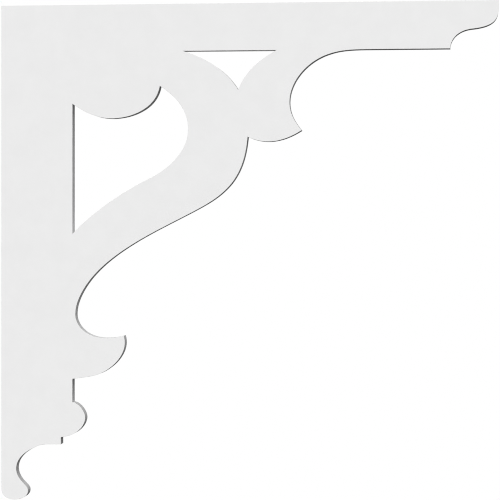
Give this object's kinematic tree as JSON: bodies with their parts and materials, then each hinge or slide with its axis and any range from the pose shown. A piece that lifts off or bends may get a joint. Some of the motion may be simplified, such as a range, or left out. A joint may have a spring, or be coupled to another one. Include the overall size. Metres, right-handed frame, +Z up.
{
  "type": "pvc bracket",
  "caption": "Flat scroll-sawn bracket for the corner of a post and a beam: post leg, beam arm, scroll brace with two windows, bead and scrolled foot.",
  "frame": {"origin": "middle of the face that is fixed to the post, on the board's centre plane", "axes": "+X out from the post along the arm, +Z up the post, Y through the board's thickness"},
  "size_m": [0.762, 0.019, 0.762],
  "materials": {
    "pvc_board": "white cellular PVC board, smooth matt faces and routed edges, unpainted"
  },
  "bodies": {
    "root": {"bracket": "pvc_board"}
  },
  "joints": []
}
